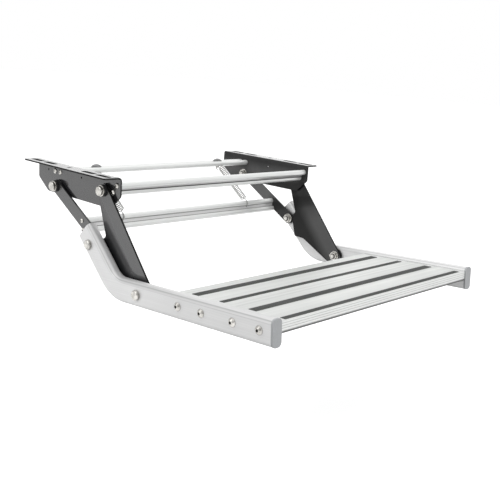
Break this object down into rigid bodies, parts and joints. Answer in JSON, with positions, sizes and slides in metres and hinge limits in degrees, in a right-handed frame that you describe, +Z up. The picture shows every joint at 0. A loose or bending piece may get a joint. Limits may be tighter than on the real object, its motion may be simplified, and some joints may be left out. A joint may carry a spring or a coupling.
{
  "type": "pull out step",
  "caption": "Pull out caravan step: ribbed tread with grip strips between bent oval rails, swung on flat links and tension springs under slotted side brackets.",
  "frame": {"origin": "midway between the centre holes of the two flanges, on the flanges' top faces", "axes": "+X across the step, to the right for someone who stands outside and faces the vehicle; -Y outwards, towards the nose of the tread; +Z up"},
  "size_m": [0.612, 0.7067, 0.2203],
  "materials": {
    "black_coat": "satin black powder coat on steel",
    "bar_aluminium": "satin anodised extrusion",
    "rail_aluminium": "satin anodised tube",
    "plank_aluminium": "finely fluted anodised extrusion",
    "grip_rubber": "ribbed, matt",
    "cap_plastic": "matt grey moulding",
    "nylon": "matt black nylon",
    "zinc_steel": "zinc plated",
    "dark_steel": "blackened",
    "spring_steel": "plated spring wire"
  },
  "bodies": {
    "frame": {"left_bracket": "black_coat", "right_bracket": "black_coat", "rear_tie": "bar_aluminium", "front_tie": "bar_aluminium", "tie_screws": "zinc_steel", "spring_eye_bolts": "zinc_steel", "spring_eye_nuts": "dark_steel", "rear_pivot_bolts": "zinc_steel", "rear_pivot_nuts": "zinc_steel", "front_pivot_bolts": "zinc_steel", "front_pivot_nuts": "zinc_steel", "rear_pivot_spacers": "zinc_steel", "front_pivot_spacers": "zinc_steel", "upper_pivot_washers": "nylon"},
    "front_links": {"left_front_link": "black_coat", "right_front_link": "black_coat"},
    "rear_links": {"left_rear_link": "black_coat", "right_rear_link": "black_coat", "link_cross_bar": "bar_aluminium", "cross_bar_screws": "zinc_steel", "rail_pivot_nuts": "zinc_steel"},
    "springs": {"left_spring": "spring_steel", "right_spring": "spring_steel"},
    "tread": {"left_rail": "rail_aluminium", "right_rail": "rail_aluminium", "rear_plank": "plank_aluminium", "front_plank": "plank_aluminium", "rear_grip_strips": "grip_rubber", "front_grip_strips": "grip_rubber", "left_nose_cap": "cap_plastic", "right_nose_cap": "cap_plastic", "leg_end_plugs": "cap_plastic", "plank_screws": "zinc_steel", "lower_pivot_bolts": "zinc_steel", "lower_pivot_nuts": "zinc_steel", "lower_pivot_washers": "nylon", "rail_pivot_bolts": "zinc_steel", "rail_pivot_spacers": "zinc_steel"}
  },
  "joints": [
    {"name": "fold", "type": "hinge", "parent": "frame", "child": "front_links", "pos_m": [0, -0.095, -0.0305], "axis": [1, 0, 0], "range_deg": [0, 99]},
    {"name": "tread_swing", "type": "hinge", "parent": "front_links", "child": "tread", "pos_m": [0, -0.23736, -0.19427], "axis": [1, 0, 0], "range_deg": [-99, 0]},
    {"name": "rear_link_swing", "type": "hinge", "parent": "frame", "child": "rear_links", "pos_m": [0, 0.066, -0.047], "axis": [1, 0, 0], "range_deg": [0, 139]},
    {"name": "spring_swing", "type": "hinge", "parent": "frame", "child": "springs", "pos_m": [0, 0.06837, -0.02923], "axis": [1, 0, 0], "range_deg": [0, 123], "deforming": ["left_spring", "right_spring"]}
  ],
  "couplings": [
    {"joint": "tread_swing", "follows": "fold", "ratio": -0.99956},
    {"joint": "rear_link_swing", "follows": "fold", "ratio": 1.3972},
    {"joint": "spring_swing", "follows": "fold", "ratio": 1.2362}
  ]
}
